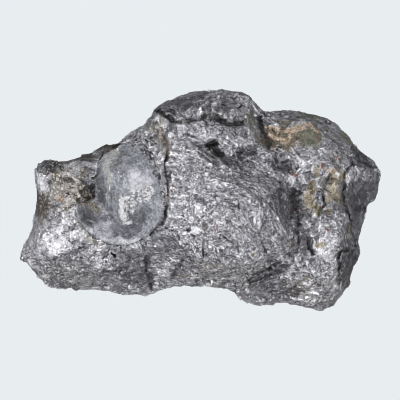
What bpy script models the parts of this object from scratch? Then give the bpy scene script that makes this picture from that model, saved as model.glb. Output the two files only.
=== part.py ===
"""Hand specimen of massive skutterudite: a broken lump of grey metallic ore that holds a lens of quartz.

The lump lies on its flattest side. X runs along it, Y across it and Z up, away from the surface it rests on.
Its form is set out as a surveyor would: the widest contour, and named ridges, floors and edges as lines of
spot heights. The slopes between them are then broken into flats, cracked, pitted and roughened. The quartz
sits in a socket of its own.
"""
import bmesh
import bpy
import numpy as np
from mathutils import Matrix, Vector, geometry, noise

# Everything below is in millimetres, and both pieces are scaled to metres once, at the end.
MM = 0.001

# Driving dimensions
FACE_SIZE = 0.55           # edge of the even faces that the surface is worked on
ORE_TRIANGLES = 7400
QUARTZ_TRIANGLES = 1300
SOCKET_GAP = 0.35          # between the quartz and the ore that it grew in
REST_HEIGHT = 0.0
SOLE_HEIGHT = -0.9         # the sole is set this low, then cut flat at the rest height
# The hackly fracture, as broad flats with smaller ones on them: the size of a flat, how far it leans out of
# the general slope, and the furthest that a point is moved to lie in it.
FLATS = (
    (9.0, 0.45, 2.0),
    (3.4, 0.3, 0.6),
)
EDGE_MARGIN = 4.0          # the flats fade out towards the widest contour over this width
SWELL_SIZE = 10.0          # the slow rise and fall of the broken faces
SWELL_DEPTH = 0.5
GRAIN_SIZE = 2.2
GRAIN_DEPTH = 0.12
STIR = 0.7                 # how far the seams between the flats wander
SEED_STRETCH = 7.3
CRACK_WANDER = 1.6         # length of one waver in a crack's width
QUARTZ_SHARE = 0.5         # how much of all this the smoother quartz has

# The widest contour of the lump, clockwise from its west tip: x, y and height.
OUTLINE = (
    (-45.75, -14.75, 15), (-43.75, -10.75, 14), (-41.5, -6.25, 12), (-41, -3, 11), (-40.5, -0.5, 10),
    (-41.25, 3.75, 10), (-41, 8.75, 12), (-38, 10.75, 13), (-34, 10, 14), (-30.75, 11.25, 15),
    (-25, 13, 16), (-20.5, 14.75, 16), (-17.75, 17.25, 16), (-14.25, 19, 15), (-12.75, 21.25, 13),
    (-11.75, 23, 12), (-8, 25.25, 11), (-2.5, 27, 12), (1.75, 27.75, 13), (6.5, 28, 15),
    (12.25, 27, 16), (14.5, 24.5, 15), (17, 22.25, 13), (20.5, 23, 11), (25, 22.75, 10),
    (29.75, 21.75, 10), (34, 19.75, 10), (37.5, 17, 12), (40.5, 13, 13), (42.75, 12.25, 14),
    (43.5, 10, 15), (46, 6.5, 15), (44.5, 0.25, 14), (42.25, -1.25, 14), (41.75, -5.5, 13),
    (40, -10, 11), (40.75, -13.75, 9), (39.25, -16, 8), (38, -21.5, 7), (36, -23.5, 7),
    (34, -27, 8), (30.75, -28, 8), (26.5, -26.5, 8), (22, -26.25, 9), (17.5, -26, 10),
    (15, -26.75, 10), (12, -25.75, 11), (7.5, -22.25, 14), (3, -21.75, 15), (-5, -21.5, 14),
    (-10, -23, 11), (-12.5, -24.25, 9), (-15.5, -23.75, 8), (-19, -24, 8), (-22, -23, 8),
    (-27.5, -22.75, 8), (-31, -22.25, 8), (-33.5, -23, 9), (-37.25, -22.5, 10), (-41, -18.5, 12),
)

# The edge along which quartz meets ore, clockwise from its west corner.
QUARTZ_RIM = (
    (-31, -1.5, 24.5), (-29, -1, 23), (-26.5, -1, 21.5), (-25, 1, 20.5), (-25.5, 4.5, 21), (-25, 8, 21),
    (-23.25, 11.25, 20.5), (-19.25, 13, 20), (-17, 14.75, 20), (-14.5, 14.75, 23), (-12.5, 13, 25),
    (-11, 10, 28), (-9.75, 6.25, 29), (-9.25, 1.25, 29), (-9.25, -2.5, 28.5), (-10, -5.25, 28),
    (-12.25, -7.75, 27.5), (-14.75, -9.75, 26.5), (-18, -11, 26), (-22, -10.5, 26), (-25.5, -9, 25.5),
    (-28.5, -6.5, 25.5), (-30.5, -4, 25),
)

# Ridges, floors and edges of the ore's upper side.
ORE_LINES = {
    "dome crest": ((-6.75, 9.25, 30), (-2, 6.5, 33), (3.75, 4, 36), (10, 1.5, 36), (15.5, -1, 34),
                   (20.25, -3.25, 31)),
    "dome belly": ((-6.75, -3, 30), (-1, -3.5, 34), (6.25, -5.5, 37), (13.25, -7.5, 35), (20.25, -9.5, 31)),
    "dome brow": ((-2.5, -10, 30), (1.75, -13, 31), (8, -14.75, 32), (14, -15.5, 30), (19.25, -13, 28),
                  (23, -10, 27)),
    "lower band": ((-5.5, -15.5, 22), (0, -18, 22), (6.5, -18.75, 23), (11.5, -20, 22)),
    "trough": ((-6, 13.5, 27), (-1.75, 12.5, 27.5), (3, 12.5, 26), (7, 10.75, 26.5), (12, 10, 24.5),
               (17, 8.5, 24.5), (21.5, 7, 24)),
    "crown band": ((-6, 17.75, 27), (-1, 18, 29), (4, 17.25, 30), (9, 16, 31), (13, 14.75, 30)),
    "crevice floor": ((-7.5, 20.75, 22), (-3, 19.5, 23), (2.5, 20.25, 24), (7, 19.5, 25), (11, 18.5, 25)),
    "crevice lip": ((-8.5, 22.5, 22), (-4.5, 22, 25), (1, 22, 27), (6.5, 21.5, 28), (10.5, 20.5, 27)),
    "crown top": ((-9.25, 23.5, 18), (-4, 24.75, 21), (2, 25.5, 23), (7.75, 25.5, 24), (11.75, 24.5, 22)),
    "crown east edge": ((13.75, 21.75, 21), (14.25, 18.5, 26), (14.75, 15.5, 27)),
    "north-west shoulder": ((-15.75, 16.5, 20), (-12.25, 17.5, 23), (-9.5, 12.5, 27.5)),
    "notch floor": ((16.25, 20, 18), (16.25, 17.5, 20), (16.5, 14.75, 22), (19, 12, 25)),
    "shoulder crest": ((19.25, 20.5, 19), (24.25, 20, 21), (29.5, 18.25, 22), (33.75, 15, 22),
                       (37.25, 10.75, 21)),
    "tan hollow": ((20.75, 16.25, 21), (25.75, 15.75, 22), (29.5, 14, 24)),
    "shoulder brow": ((23, 11.5, 27), (30.5, 9.25, 28), (35.5, 8.5, 26)),
    "groove floor": ((23.25, 4, 23.5), (23.25, 0.5, 22.5), (24.25, -2.5, 22), (26, -6, 22.5),
                     (26.25, -10, 23), (27.75, -13.75, 23.5)),
    "ochre west": ((25.75, 4, 27), (27, 0, 26), (28, -3.5, 25)),
    "ochre cleft": ((31, 5.5, 28), (29.75, 1, 25.5), (30, -3, 25)),
    "ochre east": ((33.25, 5, 29), (33, 0.5, 28), (32.5, -2.5, 27)),
    "bulge crest": ((30.25, -5.5, 29), (32, -10, 30), (31.25, -14.5, 29), (31.25, -19.5, 25),
                    (30.5, -24, 18)),
    "east edge": ((36.75, 7, 25), (35.25, 2.5, 27), (35.75, -3, 26), (37.25, -8, 23), (35.25, -12.25, 25),
                  (34.25, -17, 23), (34, -21.25, 19), (33, -24.5, 15)),
    "apron hollow": ((18.5, -16, 21), (20.5, -17.5, 18), (24, -15.5, 20)),
    "apron": ((13.75, -22, 18), (18, -23, 17), (23, -23, 17), (26.25, -20, 21)),
    "west edge": ((-40.5, -13.5, 18), (-36.25, -13.25, 22), (-32.5, -12.5, 24), (-28.5, -11.5, 25),
                  (-22.5, -12.25, 26), (-17.5, -12.5, 26), (-13, -10.25, 27), (-10, -7.75, 28),
                  (-6.5, -7.75, 28)),
    "wedge face": ((-35, -18, 16), (-25, -17.75, 18), (-15, -17, 18.5), (-12.75, -19.25, 15.5),
                   (-9.25, -16.5, 20)),
    "west block": ((-38.25, 7.75, 19), (-34.5, 7.25, 22), (-31, 8, 23)),
    "west block face": ((-38.5, 3.5, 19), (-35, 2.5, 23), (-31.25, 2.5, 25)),
    "west facets": ((-38.5, -2.5, 19), (-35, -3, 23), (-32.5, -3, 25)),
    "west foot": ((-39.5, -8.75, 19), (-35, -9, 24), (-30.5, -8.5, 26)),
    "brown rim": ((-29, 9.75, 19), (-25.5, 10.5, 19)),
    "dark crevice": ((-28.5, 7.5, 20), (-27.5, 4.5, 18.5), (-27, 1, 18.5)),
}

# Where the quartz bulges and where it has flaked away.
QUARTZ_LINES = {
    "boss rim": ((-19, 9.5, 26.5), (-15.5, 11.5, 27.5), (-12.5, 7.5, 29.5), (-12.25, 2.5, 29.75)),
    "boss top": ((-20.5, 5, 27.5), (-16, 5.5, 31), (-16.5, 1.5, 30.5)),
    "west slope": ((-23, 4.5, 24), (-22.5, -1.5, 23.5)),
    "flake": ((-20, 0.5, 28), (-19.5, -3, 27.5), (-18.25, -5.5, 26), (-16.75, -3.5, 28.5),
              (-14.5, -0.5, 29)),
    "flake foot": ((-20.75, -1, 24), (-20.25, -3.5, 22.5), (-18.5, -6.5, 22), (-16, -4.5, 24.5),
                   (-13.5, -1.5, 26.5)),
    "bowl floor": ((-27.5, -3.5, 21.5), (-23.5, -5.5, 21), (-20, -8, 21.5), (-15, -7, 24), (-12, -3.5, 26)),
}

# The underside: the flat sole, hollows broken out of it, and knuckles between it and the widest contour.
SOLE = (
    (-31, -15), (-20, -19), (-8, -17), (3, -10), (14, -15), (27, -21), (32, -16), (30, -2),
    (24, 6), (12, 9), (3, 18), (-6, 15), (-12, 5), (-24, 2), (-33, -4),
)
SOLE_HOLLOWS = (
    ((9, -3, 1.2), (15, 0, 2.0), (19, -6, 1.0)),
    ((-26, -11, 0.6), (-20, -9, 1.0)),
    ((-1, 9, 0.8), (3, 12, 0.6)),
)
KNUCKLES = (
    (-38, -3, 3.5), (-37, 5, 6), (-27, 7, 7), (-17, 12, 9), (-9, 20, 5), (9, 22, 8), (15, 17, 5),
    (25, 17, 3), (34, 13, 4), (38, 4, 8), (36.5, -8, 3), (34.5, -20, 2), (9, -18, 6), (0, -17, 7),
    (-13, -21, 3), (-36.5, -17, 4),
)

# The sides of the quartz and of the hollow it fills go down steeply, drawn in towards this middle.
QUARTZ_MIDDLE = (-19, -3)
DRAWN_IN = 0.85
QUARTZ_SIDE_DROP = 9
HOLLOW_SIDE_DROP = 6.5
LENS_DEEPEST = ((-20, 6, 12.5), (-19, -3, 12.5))

# Cracks, seams and pits of the upper side: the line each follows, half its width, and its depth.
CRACKS = {
    "rust crack": (((-10, 18), (-9.25, 15), (-8.25, 12.5), (-8.75, 8.75), (-8.5, 5), (-8, 2), (-8.5, -1.25),
                    (-9, -4.25), (-9.75, -5.75)), 0.5, 2.2),
    "bulge crack": (((28, -5), (27.25, -7.5), (26.5, -9.5), (27, -11.75), (28, -13.5)), 0.5, 2),
    "ochre cleft": (((31.25, 5.5), (30, 2.5), (29.5, 0), (30, -3), (29, -5)), 0.6, 1.8),
    "crown crevice": (((-8, 22.25), (-6, 20.75), (-3, 19.5), (0, 20.25), (3.5, 20.5), (6.5, 19.5),
                       (10, 18.5)), 0.9, 1.6),
    "crown pit west": (((1.75, 14), (4.5, 12)), 1.1, 2.2),
    "crown pit east": (((10, 11.75), (13.5, 12)), 1, 2),
    "crown pit low": (((10.5, 10.75), (12, 9.5)), 0.9, 1.4),
    "notch pit": (((14.75, 19), (15.5, 15.5), (16.75, 13.5)), 0.8, 2.2),
    "trough pit": (((18.5, 10.75), (19.75, 8), (22, 7.75)), 1, 1.3),
    "groove pit": (((23.5, 3.25), (22.5, -0.5), (23.75, -3)), 1.2, 1.5),
    "apron pit": (((17, -15.5), (19.75, -17), (19, -19.25)), 1.5, 1.4),
    "east seam": (((35.5, -11.5), (34.5, -14), (34.25, -17), (34.75, -20.5)), 0.6, 1.6),
    "east scar": (((35.75, -1.25), (37, -5.5), (37.5, -9.5)), 0.9, 1.4),
    "wedge pit": (((-22, -12.5), (-21, -14)), 0.6, 2.4),
    "wedge crease": (((-13.5, -13.5), (-13.25, -17.5), (-12.25, -23)), 0.7, 1),
    "lip pits": (((-12.5, -8.5), (-11, -6.5), (-9.5, -5.75)), 0.7, 1.6),
    "crevice pit": (((-29, 8.5), (-28, 5.25), (-26.75, 1.75)), 1.2, 0.8),
    "west cap seam": (((-40.5, 8), (-38, 7), (-35.5, 7.25), (-33.5, 8.75)), 0.8, 1),
    "west chip seam": (((-38, 6.75), (-37.5, 3.5), (-38.25, 1.75)), 0.5, 1),
}


def facet_net(outline, lines, facing_up):
    """Triangles between an outline and the lines inside it, as (points, faces)."""
    points = [Vector(p) for p in outline]
    edges = [(i, (i + 1) % len(outline)) for i in range(len(outline))]
    for line in lines:
        first = len(points)
        points += [Vector(p) for p in line]
        edges += [(first + i, first + i + 1) for i in range(len(line) - 1)]
    plan = [p.to_2d() for p in points]
    _, _, faces, origins, _, _ = geometry.delaunay_2d_cdt(plan, edges, [], 1, 1e-5)
    named = [[origins[i][0] for i in face] for face in faces]
    return points, [face if facing_up else face[::-1] for face in named]


def drawn_in(rim, drop):
    """A copy of the quartz rim, drawn in towards its middle and lowered."""
    mid_x, mid_y = QUARTZ_MIDDLE
    ring = [(mid_x + (x - mid_x) * DRAWN_IN, mid_y + (y - mid_y) * DRAWN_IN, z - drop) for x, y, z in rim]
    return ring + ring[:1]


def closed_cage(name, outline, upper_lines, lower_lines):
    """A closed object of flat facets: an upper and a lower net, joined along the outline."""
    shell = bmesh.new()
    for lines, facing_up in ((upper_lines, True), (lower_lines, False)):
        points, faces = facet_net(outline, lines, facing_up)
        corners = [shell.verts.new(p) for p in points]
        for face in faces:
            shell.faces.new([corners[i] for i in face])
    bmesh.ops.remove_doubles(shell, verts=shell.verts, dist=0.001)
    mesh = bpy.data.meshes.new(name)
    shell.to_mesh(mesh)
    shell.free()
    return bpy.data.objects.new(name, mesh)


def keep_shape(obj):
    """Applies an object's modifiers by keeping its evaluated mesh."""
    bpy.context.view_layer.update()
    graph = bpy.context.evaluated_depsgraph_get()
    mesh = bpy.data.meshes.new_from_object(obj.evaluated_get(graph))
    obj.modifiers.clear()
    obj.data = mesh


def even_faces(obj):
    """Remeshes an object to faces of one size, so that its surface can be worked."""
    remesh = obj.modifiers.new("even_faces", "REMESH")
    remesh.mode = "VOXEL"
    remesh.voxel_size = FACE_SIZE
    keep_shape(obj)


def thin_out(obj, triangles):
    """Collapses edges until that many triangles are left, most of them where the surface turns."""
    obj.modifiers.new("triangles", "TRIANGULATE")
    keep_shape(obj)
    decimate = obj.modifiers.new("thin_out", "DECIMATE")
    decimate.ratio = triangles / len(obj.data.polygons)
    keep_shape(obj)


def distance_to_line(points, line):
    """The distance in plan from each point to the nearest stretch of a line."""
    nearest = np.full(len(points), np.inf)
    for start, end in zip(line, line[1:]):
        start, end = np.array(start), np.array(end)
        along = end - start
        share = np.clip((points - start) @ along / (along @ along), 0, 1)
        nearest = np.minimum(nearest, np.linalg.norm(points - start - share[:, None] * along, axis=1))
    return nearest


def crack_depth(points):
    """How deep the cracks and pits cut at each point, in plan."""
    wander = np.array([noise.noise(Vector((x, y, 0)) / CRACK_WANDER) for x, y in points])
    depth = np.zeros(len(points))
    for line, half_width, deepest in CRACKS.values():
        reach = half_width * 2 * (1 + 0.5 * wander)
        share = np.clip(1 - distance_to_line(points, line) / reach, 0, 1)
        depth = np.maximum(depth, deepest * share * share * (3 - 2 * share))
    return depth


def smooth_vector(place):
    """Smooth noise for each of the three directions, drawn at places far apart."""
    return Vector([noise.noise(place + Vector(apart)) for apart in ((0, 0, 0), (31, 0, 0), (0, 31, 0))])


def stirred(place, size, amount):
    """A place shifted by smooth noise, so that what is drawn there has no straight edges."""
    return place + smooth_vector(place / size) * amount


def cells_of(places, size):
    """The points in groups, one for each flat of the broken surface."""
    cells = {}
    for i, place in enumerate(places):
        _, seeds = noise.voronoi(stirred(Vector(place), GRAIN_SIZE, STIR) / size)
        cells.setdefault(tuple(round(c, 3) for c in seeds[0]), []).append(i)
    return cells


def chip(places, normals, size, tilt, pull, freedom):
    """Pulls each group of points towards a leaning plane, as far as each is free to move."""
    for seed, members in cells_of(places, size).items():
        # Seeds are about one apart and noise is zero at whole numbers, so the seed is stretched first.
        lean = smooth_vector(Vector(seed) * SEED_STRETCH)
        facing = normals[members].mean(axis=0) + tilt * np.array(lean)
        facing /= np.linalg.norm(facing)
        off_plane = (places[members] - places[members].mean(axis=0)) @ facing
        move = np.clip(off_plane, -pull, pull) * freedom[members]
        places[members] -= move[:, None] * facing


def work_surface(obj, outline, share, cracked):
    """Breaks the even faces into flats, cuts the cracks straight down and grains the whole."""
    count = len(obj.data.vertices)
    places = np.empty(count * 3)
    normals = np.empty(count * 3)
    obj.data.vertices.foreach_get("co", places)
    obj.data.vertices.foreach_get("normal", normals)
    places, normals = places.reshape(-1, 3), normals.reshape(-1, 3)
    swell = np.array([noise.fractal(Vector(p) / SWELL_SIZE, 1.0, 2.0, 3) for p in places])
    grain = np.array([noise.fractal(Vector(p) / GRAIN_SIZE, 0.8, 2.0, 2) for p in places])
    to_edge = distance_to_line(places[:, :2], [(x, y) for x, y, _ in outline + outline[:1]])
    freedom = np.clip(to_edge / EDGE_MARGIN, 0.1, 1)
    for size, tilt, pull in FLATS:
        chip(places, normals, size, share * tilt, share * pull, freedom)
    places += normals * (share * (SWELL_DEPTH * swell + GRAIN_DEPTH * grain))[:, None]
    if cracked:
        facing_up = np.clip(normals[:, 2] * 3, 0, 1)
        places[:, 2] -= crack_depth(places[:, :2]) * facing_up
    obj.data.vertices.foreach_set("co", places.ravel())
    obj.data.update()
    even_faces(obj)


def block(name, low, high):
    """A plain box between two corners."""
    low, high = Vector(low), Vector(high)
    box = bmesh.new()
    place = Matrix.LocRotScale((low + high) / 2, None, high - low)
    bmesh.ops.create_cube(box, size=1, matrix=place)
    mesh = bpy.data.meshes.new(name)
    box.to_mesh(mesh)
    box.free()
    return bpy.data.objects.new(name, mesh)


def cut(obj, cutter):
    """Adds a Boolean that takes the cutter away from the object."""
    boolean = obj.modifiers.new("cut_" + cutter.name, "BOOLEAN")
    boolean.operation = "DIFFERENCE"
    boolean.object = cutter


def finish(name, color, roughness, metallic):
    """The plain finish of one piece."""
    material = bpy.data.materials.new(name)
    material.use_nodes = True
    shader = material.node_tree.nodes["Principled BSDF"]
    shader.inputs["Base Color"].default_value = (*color, 1)
    shader.inputs["Roughness"].default_value = roughness
    shader.inputs["Metallic"].default_value = metallic
    return material


def main():
    for obj in list(bpy.data.objects):
        bpy.data.objects.remove(obj)
    specimen = bpy.data.collections.new("skutterudite")
    cutters = bpy.data.collections.new("cutters")
    for collection in (specimen, cutters):
        bpy.context.scene.collection.children.link(collection)

    quartz_sides = drawn_in(QUARTZ_RIM, QUARTZ_SIDE_DROP)
    hollow_sides = drawn_in(QUARTZ_RIM, HOLLOW_SIDE_DROP)
    quartz = closed_cage("quartz_lens", QUARTZ_RIM, QUARTZ_LINES.values(), [quartz_sides, LENS_DEEPEST])
    sole = [(x, y, SOLE_HEIGHT) for x, y in SOLE]
    upper = [*ORE_LINES.values(), QUARTZ_RIM + QUARTZ_RIM[:1], hollow_sides]
    lower = [sole + sole[:1], *SOLE_HOLLOWS, *([knuckle] for knuckle in KNUCKLES)]
    ore = closed_cage("skutterudite_ore", OUTLINE, upper, lower)
    for obj in (quartz, ore):
        specimen.objects.link(obj)
        even_faces(obj)
    work_surface(quartz, QUARTZ_RIM, QUARTZ_SHARE, cracked=False)
    work_surface(ore, OUTLINE, 1.0, cracked=True)
    thin_out(quartz, QUARTZ_TRIANGLES)
    thin_out(ore, ORE_TRIANGLES)

    # The socket is the quartz, grown by the gap.
    socket = bpy.data.objects.new("socket", quartz.data.copy())
    ground = block("ground", (-60, -40, -10), (60, 40, REST_HEIGHT))
    for cutter in (socket, ground):
        cutters.objects.link(cutter)
        cutter.hide_render = True
        cutter.display_type = "WIRE"
    grow = socket.modifiers.new("gap", "DISPLACE")
    grow.mid_level = 0
    grow.strength = SOCKET_GAP
    cut(ore, ground)
    cut(ore, socket)
    keep_shape(ore)
    keep_shape(socket)

    quartz.data.materials.clear()
    ore.data.materials.clear()
    quartz.data.materials.append(finish("quartz", (0.42, 0.46, 0.53), 0.18, 0.0))
    ore.data.materials.append(finish("ore", (0.30, 0.30, 0.32), 0.42, 0.85))
    # The middle of the box round the ore goes over the origin.
    corners = np.array([vertex.co for vertex in ore.data.vertices])
    middle = (corners.min(axis=0) + corners.max(axis=0)) / 2
    centred = Matrix.Translation((-middle[0], -middle[1], 0))
    for obj in (quartz, ore, socket, ground):
        obj.data.transform(Matrix.Scale(MM, 4) @ centred)


main()
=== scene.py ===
import math

import bpy
import numpy as np
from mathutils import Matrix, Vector
from mathutils.bvhtree import BVHTree


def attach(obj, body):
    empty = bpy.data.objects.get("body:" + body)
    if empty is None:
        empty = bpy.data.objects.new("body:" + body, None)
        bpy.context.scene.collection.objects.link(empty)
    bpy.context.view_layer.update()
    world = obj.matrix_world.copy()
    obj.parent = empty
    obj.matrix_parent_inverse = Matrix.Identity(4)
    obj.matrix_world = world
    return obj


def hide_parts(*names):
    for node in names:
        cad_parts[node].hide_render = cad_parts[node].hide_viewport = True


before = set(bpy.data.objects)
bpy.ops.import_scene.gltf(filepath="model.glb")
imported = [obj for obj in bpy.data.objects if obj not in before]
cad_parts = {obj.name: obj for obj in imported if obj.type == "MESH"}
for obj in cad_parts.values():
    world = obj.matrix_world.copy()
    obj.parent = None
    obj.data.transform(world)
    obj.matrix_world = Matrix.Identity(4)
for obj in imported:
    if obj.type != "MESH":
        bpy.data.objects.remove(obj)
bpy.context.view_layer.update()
print("frame loaded")

mm = 0.001  # lengths below are in millimetres unless a line says otherwise


def selectOnly(piece):
    bpy.ops.object.select_all(action="DESELECT")
    piece.select_set(True)
    bpy.context.view_layer.objects.active = piece


def copyOfNode(node, name):
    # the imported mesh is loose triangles, so its corners are joined before any work
    piece = bpy.data.objects.new(name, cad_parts[node].data.copy())
    bpy.context.scene.collection.objects.link(piece)
    selectOnly(piece)
    bpy.ops.object.mode_set(mode="EDIT")
    bpy.ops.mesh.select_all(action="SELECT")
    bpy.ops.mesh.remove_doubles(threshold=0.002 * mm)
    bpy.ops.object.mode_set(mode="OBJECT")
    return piece


def applyModifier(piece, kind, **settings):
    selectOnly(piece)
    modifier = piece.modifiers.new(kind.lower(), kind)
    for key, value in settings.items():
        setattr(modifier, key, value)
    bpy.ops.object.modifier_apply(modifier=modifier.name)


def sharpen(piece, degrees):
    # smooth shading, but for the edges that fold by more than this
    selectOnly(piece)
    bpy.ops.object.shade_smooth_by_angle(angle=math.radians(degrees))


def pointsOf(piece):
    count = len(piece.data.vertices)
    places = np.empty(count * 3)
    normals = np.empty(count * 3)
    piece.data.vertices.foreach_get("co", places)
    piece.data.vertices.foreach_get("normal", normals)
    return places.reshape(-1, 3) / mm, normals.reshape(-1, 3)


def movePoints(piece, places):
    piece.data.vertices.foreach_set("co", (places * mm).ravel())
    piece.data.update()


def storeMask(piece, name, values):
    layer = piece.data.attributes.new(name, "FLOAT", "POINT")
    layer.data.foreach_set("value", np.clip(values, 0, 1).astype(np.float32))


def storeVector(piece, name, values):
    layer = piece.data.attributes.new(name, "FLOAT_VECTOR", "POINT")
    layer.data.foreach_set("vector", values.astype(np.float32).ravel())


def cellHash(cells, seed):
    x, y, z = (cells[..., i].astype(np.uint64) for i in range(3))
    mixed = x * np.uint64(73856093) ^ y * np.uint64(19349663) ^ z * np.uint64(83492791)
    mixed = mixed ^ np.uint64(seed * 2654435761 % 4294967296)
    for shift in (15, 12, 16):
        mixed = (mixed ^ (mixed >> np.uint64(shift))) * np.uint64(2246822519) & np.uint64(0xffffffff)
    return mixed.astype(float) / 4294967296


def smoothNoise(points, size, seed):
    # from -1 to 1, with swells about one size apart
    scaled = points / size + 1000
    low = np.floor(scaled)
    t = scaled - low
    t = t * t * t * (t * (t * 6 - 15) + 10)
    total = np.zeros(len(points))
    for corner in np.ndindex(2, 2, 2):
        share = np.prod(np.where(corner, t, 1 - t), axis=1)
        total += share * cellHash(low + np.array(corner), seed)
    return total * 2 - 1


def roughNoise(points, size, octaves, seed):
    total = np.zeros(len(points))
    for step in range(octaves):
        total += smoothNoise(points, size / 2 ** step, seed + step) * 0.5 ** step
    return total


def drift(points, size, seed):
    # a shift of up to 1 along each axis
    return np.stack([smoothNoise(points, size, seed + axis) for axis in range(3)], axis=1)


def unit(vectors, least=1e-6):
    return vectors / (np.linalg.norm(vectors, axis=1)[:, None] + least)


def alongNormals(vectors, normals):
    return np.einsum("ij,ij->i", vectors, normals)


def chipsOf(points, size, seed):
    # of the seed that is nearest to each point: a number of its own, and how high a plane through
    # it stands at the point; each plane leans its own way and starts at its own height
    scaled = points / size + 1000
    low = np.floor(scaled)
    nearest = np.full(len(points), np.inf)
    number = np.zeros(len(points))
    height = np.zeros(len(points))
    for corner in np.ndindex(3, 3, 3):
        cell = low + np.array(corner) - 1
        draws = np.stack([cellHash(cell, seed + i) for i in range(6)], axis=1)
        off = scaled - (cell + draws[:, :3])
        away = np.linalg.norm(off, axis=1)
        closer = away < nearest
        leans = draws[:, 3:] - 0.5
        plane = (off * leans).sum(axis=1) + leans[:, 0] * 0.6
        number = np.where(closer, cellHash(cell, seed + 7), number)
        height = np.where(closer, plane, height)
        nearest = np.where(closer, away, nearest)
    return number, height


def smoothStep(values, low, high):
    t = np.clip((values - low) / (high - low), 0, 1)
    return t * t * (3 - 2 * t)


def awayFromLine(points, line):
    # distance in plan to a line of places
    flat = points[:, :2]
    nearest = np.full(len(points), np.inf)
    for start, end in zip(line, line[1:]):
        along = np.array(end, float) - start
        share = np.clip((flat - start) @ along / (along @ along), 0, 1)
        off = flat - start - share[:, None] * along
        nearest = np.minimum(nearest, np.linalg.norm(off, axis=1))
    return nearest


def turned(points, x, y, degrees):
    # places along and across a line through x, y that runs at this angle
    turn = math.radians(degrees)
    dx, dy = points[:, 0] - x, points[:, 1] - y
    return dx * math.cos(turn) + dy * math.sin(turn), dy * math.cos(turn) - dx * math.sin(turn)


def patch(points, spots, wander, soft, size, seed):
    # 1 inside any of the spots, each (x, y, half length, half width, degrees), with an edge that
    # wanders by noise of this size
    ragged = roughNoise(points, size, 3, seed) * wander
    mask = np.zeros(len(points))
    for x, y, halfLength, halfWidth, degrees in spots:
        along, across = turned(points, x, y, degrees)
        reach = np.sqrt((along / halfLength) ** 2 + (across / halfWidth) ** 2) + ragged
        mask = np.maximum(mask, 1 - smoothStep(reach, 1 - soft, 1 + soft))
    return mask


def neighbourMean(piece, values, rounds):
    count = len(piece.data.vertices)
    edges = np.empty(len(piece.data.edges) * 2, np.int32)
    piece.data.edges.foreach_get("vertices", edges)
    a, b = edges.reshape(-1, 2).T
    degree = np.bincount(a, minlength=count) + np.bincount(b, minlength=count)
    for _ in range(rounds):
        total = np.stack([
            np.bincount(a, values[b, i], count) + np.bincount(b, values[a, i], count)
            for i in range(values.shape[1])
        ], axis=1)
        values = 0.5 * values + 0.5 * total / degree[:, None]
    return values


ore = {
    "faceSize": 0.31,
    "keptFaces": 0.55,  # share that is left after thinning out
    "softening": 2,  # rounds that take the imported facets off
    "sharpFold": 15,  # degrees
    "faceDepth": 1.1,  # furthest that a broad face is cut
    "facePull": 0.85,  # share of the way to its plane
    "faceEdge": (0.35, 0.1, 2.4),  # how far it wanders, how soft, size of the wander
    "edgeCrease": 0.35,  # depth of the crease round each broad face
    # painted shade along that crease
    "edgeShade": 0.25,
    "calming": 0.6,  # how much of the hackly look a calm face loses
    "socketReach": ((0.8, 1.9), (0.5, 0.9)),  # ore this near to the quartz closes up to it, twice
    "socketSpan": (-35, -5),  # along x
    "lap": (0.1, 0.5),  # of the ore over the quartz, mean and spread
    "flow": (7, 2.5, 0.015, 1.6, 0.03),  # wander's size, its reach, bend, waver, lean
    "lumps": ((6.5, 1.1), (3.2, 0.5)),  # size, height
    "lumpDrift": 0.3,
    "flats": ((8, 0.12, 1.6), (4.2, 0.24, 1), (2.2, 0.3, 0.5)),  # size, lean, furthest pull
    "flatRim": 0.3,  # share of that pull at the outline
    "terraces": ((9, 2.8, 4), 0.4),  # (along, across, up) the foliation, height
    "terraceDrift": (4, 0.9),
    "scales": (((5, 1.6, 2.4), 0.3), ((2.2, 0.8, 1.2), 0.16)),
    "scaleDrift": 0.35,
    "grain": (1.1, 0.03),  # size, height
    "slimming": 0.12,  # taken off the flanks
    "crystal": (-1.5, -7.2, 1.3, 0.85, -8),
    "crystalHeight": 0.5,
    "crystalEdge": (0.12, 0.12, 1),
    "crackEdge": (0.35, 0.5, 1.8),  # how far it wanders, widens, size of the wander
    "crackSides": (0.3, 1.7),  # full and no depth, in half widths
    "crackDepth": (0.6, 0.4, 2.6),  # mean, spread, size of the change
    "paintedShadingEdge": (0.4, 0.5, 2.6),
    "stainEdge": (0.6, 0.5, 1.6),
    "speckleEdge": (0.4, 0.6, 4),
}

# how the surface is broken in each part: middle x, y, reach, the run of its foliation in degrees,
# how foliated and how hackly it is; each point takes the part that it is nearest to for its reach
oreParts = {
    "dome": (8, -4, 18, -33, 1, 0.5),
    "domeWest": (-5, -2, 7, -14, 1, 0.5),
    "domeTop": (0, 8, 7, -38, 0.9, 0.7),
    "band": (4, -18, 9, -12, 0.5, 1),
    "crown": (2, 24, 12, -12, 0.3, 1),
    "crownBand": (4, 16.5, 8, -20, 0.7, 0.9),
    "shoulder": (28, 16, 11, -25, 0.4, 0.9),
    "ochre": (28, 2, 8, 80, 0.4, 1),
    "bulge": (31, -12, 9, -70, 0.8, 0.8),
    "apron": (22, -22, 9, 10, 0.5, 0.9),
    "eastFace": (40, -2, 9, 55, 0.2, 0.7),
    "wedge": (-20, -18, 14, 28, 0.5, 0.8),
    "wedgeTip": (-38, -17, 9, 35, 0.4, 0.9),
    "westFoot": (-37, -8, 8, 58, 0.3, 0.9),
    "westBlock": (-35, 4, 7, 20, 0.2, 1),
    "topWest": (-14, 17, 8, 50, 0.4, 1),
}
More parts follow.
